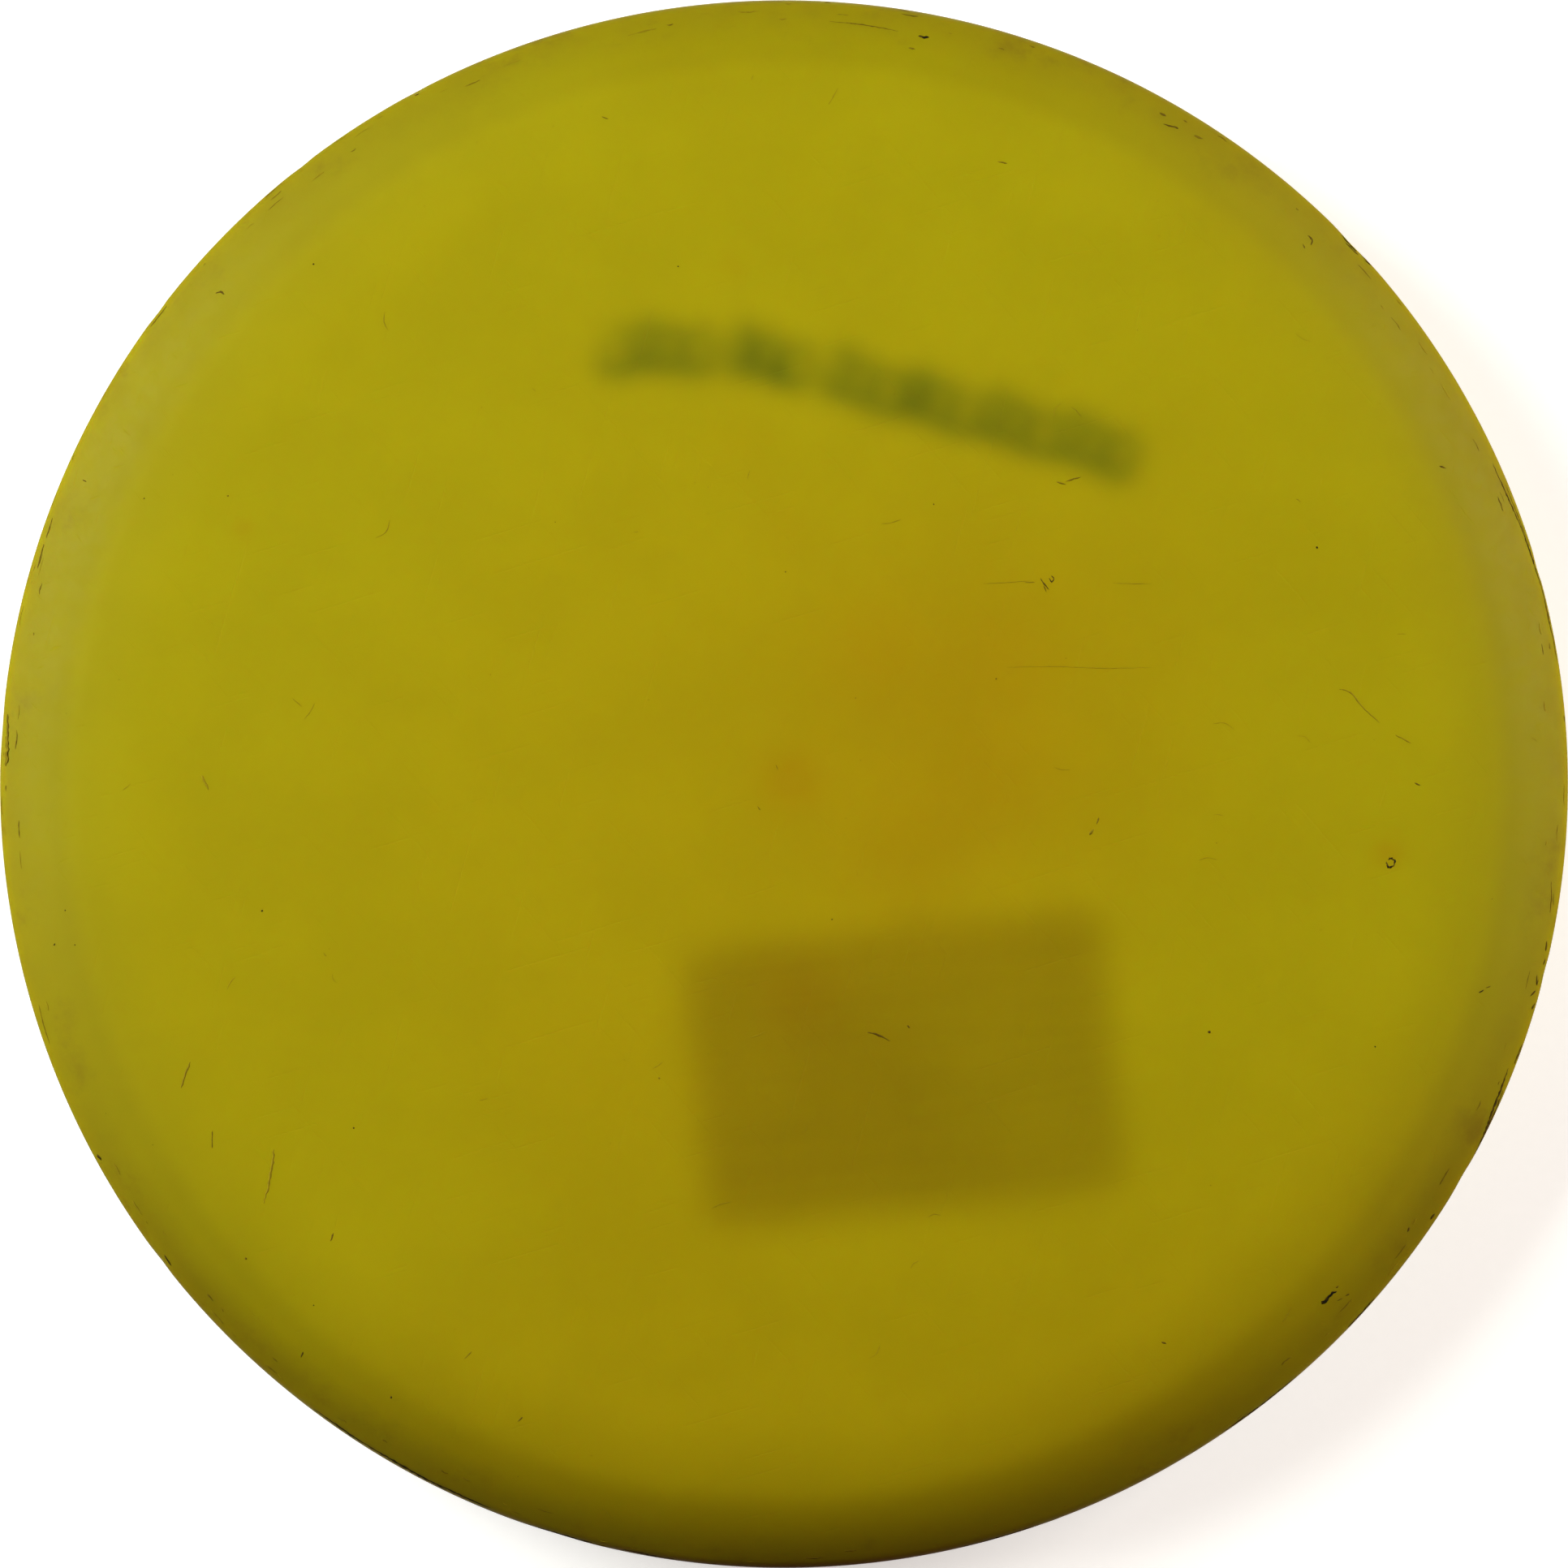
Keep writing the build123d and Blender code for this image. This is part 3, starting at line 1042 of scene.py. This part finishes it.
def printed_bars(shader, local):
    """Where the label is printed: rows of bars of uneven length, inside a margin."""
    split = shader.add("SeparateXYZ", {0: local})
    rows = shader.math("DIVIDE", split.outputs[1], PRINT_ROW)
    row = shader.math("FLOOR", rows)
    in_row = shader.math("SUBTRACT", rows, row)
    bar = shader.math("MULTIPLY", shader.ramp(in_row, 0.26, 0.3), shader.ramp(in_row, 0.66, 0.7, 1, 0))
    along = shader.math("MULTIPLY", split.outputs[0], PRINT_WORDS)
    spot = shader.add("CombineXYZ", {0: along, 1: row})
    words = shader.noise(spot.outputs[0], 1.0, 0)
    bar = shader.math("MULTIPLY", bar, shader.ramp(words, 0.44, 0.46))
    for i, edge in enumerate((PRINT_HALF_WIDTH, PRINT_HALF_LENGTH)):
        from_middle = shader.math("ABSOLUTE", split.outputs[i])
        bar = shader.math("MULTIPLY", bar, shader.ramp(from_middle, edge, edge + 0.2 * MM, 1, 0))
    return bar


def label_material():
    """Brown kraft paper with fibres, and rows of plain printed bars that spell nothing."""
    low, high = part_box("id_label")
    centre = (low + high) / 2
    shader = Shader("kraft_label")
    local = shader.turned(shader.place(), LABEL_TURN, shift=(centre.x, centre.y, 0))
    fibres = shader.noise(shader.turned(local, 8, (6, 1, 1)), 1400, 5, 0.7)
    flecks = shader.noise(local, 2400, 2)
    paper = shader.mix(shader.ramp(fibres, 0.3, 0.7), (0.30, 0.175, 0.075, 1), (0.42, 0.27, 0.125, 1))
    paper = shader.mix(shader.ramp(flecks, 0.66, 0.72, 0, 0.6), paper, (0.16, 0.085, 0.035, 1))
    worn = shader.ramp(shader.noise(local, 500, 3), 0.35, 0.5, 0.55, 0.95)
    ink = shader.math("MULTIPLY", printed_bars(shader, local), worn)
    colour = shader.mix(ink, paper, (0.035, 0.025, 0.02, 1))
    normal = shader.bump(fibres, 0.02 * MM)
    return shader.surface(Base_Color=colour, Roughness=0.82, Normal=normal, Specular_IOR_Level=0.25)


def adhesive_material():
    """Clear adhesive, amber with age, a little cloudy."""
    shader = Shader("label_adhesive")
    cloudy = shader.noise(shader.place(), 700, 3)
    colour = shader.mix(cloudy, (0.50, 0.40, 0.16, 1), (0.62, 0.54, 0.30, 1))
    normal = shader.bump(cloudy, 0.01 * MM)
    roughness = shader.ramp(cloudy, 0.3, 0.7, 0.25, 0.5)
    return shader.surface(Base_Color=colour, Roughness=roughness, Normal=normal)


def ink_material():
    """Dried marker ink: blue-black, thinner and bluer where the pen ran dry."""
    shader = Shader("marker_ink")
    place = shader.place()
    flow = shader.noise(place, 260, 3)
    streaks = shader.noise(shader.turned(place, 15, (1, 7, 1)), 1500, 2)
    thin = shader.math("MULTIPLY", shader.ramp(flow, 0.45, 0.75), shader.ramp(streaks, 0.35, 0.65))
    colour = shader.mix(thin, (0.010, 0.016, 0.028, 1), (0.06, 0.085, 0.075, 1))
    normal = shader.bump(streaks, 0.006 * MM)
    roughness = shader.ramp(flow, 0.3, 0.7, 0.42, 0.62)
    return shader.surface(Base_Color=colour, Roughness=roughness, Normal=normal)


FLOOR_GLOW = 0.6  # keeps the board pale far from the softboxes


def floor_material():
    """Pale matt board."""
    shader = Shader("pale_floor")
    speckle = shader.noise(shader.place(), 900, 2)
    colour = shader.mix(speckle, (0.80, 0.80, 0.79, 1), (0.84, 0.84, 0.83, 1))
    return shader.surface(
        Base_Color=colour,
        Roughness=0.9,
        Specular_IOR_Level=0.1,
        Emission_Color=colour,
        Emission_Strength=FLOOR_GLOW,
    )


# ---- Put the object together -----------------------------------------------------------------

disc = lathe_disc()
disc.data.materials.append(plastic_material())
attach(disc, "root")
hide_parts("disc_body")

marks = build_marks()
marks.data.materials.append(dirt_material())
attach(marks, "root")

for node_name, material in (
    ("id_label", label_material()),
    ("label_adhesive", adhesive_material()),
    ("marker_writing", ink_material()),
):
    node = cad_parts[node_name]
    node.data.materials.clear()
    node.data.materials.append(material)

# ---- Floor, light and camera -----------------------------------------------------------------

FLOOR_HALF = 4.0
FLOOR_DROP = 0.05 * MM

# Softboxes: direction and elevation in degrees, distance, size, power, colour
LIGHTS = (
    ("key", 160, 22, 1.2, 0.8, 30.5, (0.95, 1.0, 0.97)),
    ("side", 18, 15, 1.2, 0.75, 24.5, (1.0, 0.96, 0.9)),
)

# The room's weak warm light, and the pale wall that the camera sees behind the floor
ROOM_COLOUR = (1.0, 0.32, 0.04, 1)
ROOM_STRENGTH = 0.09
WALL_COLOUR = (0.56, 0.55, 0.53, 1)

CAMERA_HEIGHT = 0.65
SENSOR_WIDTH = 36  # of the camera, in millimetres
MARGIN = 1.0006  # width of the view over the disc's outline


def add_floor():
    """A wide pale board that keeps its own glow off the rim."""
    mesh = bpy.data.meshes.new("floor")
    sides = ((-1, -1), (1, -1), (1, 1), (-1, 1))
    corners = [(x * FLOOR_HALF, y * FLOOR_HALF, -FLOOR_DROP) for x, y in sides]
    mesh.from_pydata(corners, [], [(0, 1, 2, 3)])
    mesh.materials.append(floor_material())
    floor = add_object("floor", mesh)
    floor.visible_diffuse = False
    floor.visible_glossy = False


def add_light(name, direction, elevation, distance, size, power, colour):
    """A square softbox that faces the disc."""
    data = bpy.data.lights.new(name, "AREA")
    data.size = size
    data.energy = power
    data.color = colour
    around, above = math.radians(direction), math.radians(elevation)
    away = Vector(
        (math.cos(around) * math.cos(above), math.sin(around) * math.cos(above), math.sin(above))
    )
    lamp = add_object(name, data)
    lamp.location = away * distance
    lamp.rotation_euler = away.to_track_quat("Z", "Y").to_euler()


def add_world():
    """The surroundings: warm and dim as light, pale to the camera."""
    world = bpy.data.worlds.new("studio")
    world.use_nodes = True
    nodes = world.node_tree.nodes
    links = world.node_tree.links
    room = nodes["Background"]
    room.inputs[0].default_value = ROOM_COLOUR
    room.inputs[1].default_value = ROOM_STRENGTH
    wall = nodes.new("ShaderNodeBackground")
    wall.inputs[0].default_value = WALL_COLOUR
    seen = nodes.new("ShaderNodeLightPath").outputs["Is Camera Ray"]
    either = nodes.new("ShaderNodeMixShader")
    links.new(seen, either.inputs[0])
    links.new(room.outputs[0], either.inputs[1])
    links.new(wall.outputs[0], either.inputs[2])
    links.new(either.outputs[0], nodes["World Output"].inputs["Surface"])
    bpy.context.scene.world = world


def add_camera():
    """Straight above the disc, with its outline just inside the picture."""
    data = bpy.data.cameras.new("camera")
    nose_height = float(UPPER_HEIGHTS[-1])
    half_view = OUTER_RADIUS * MARGIN / (CAMERA_HEIGHT - nose_height)
    data.sensor_width = SENSOR_WIDTH
    data.lens = SENSOR_WIDTH / 2 / half_view
    camera = add_object("camera", data)
    camera.location = (0, 0, CAMERA_HEIGHT)
    bpy.context.scene.camera = camera


add_floor()
for light in LIGHTS:
    add_light(*light)
add_world()
bpy.context.scene.view_settings.view_transform = "Standard"
add_camera()
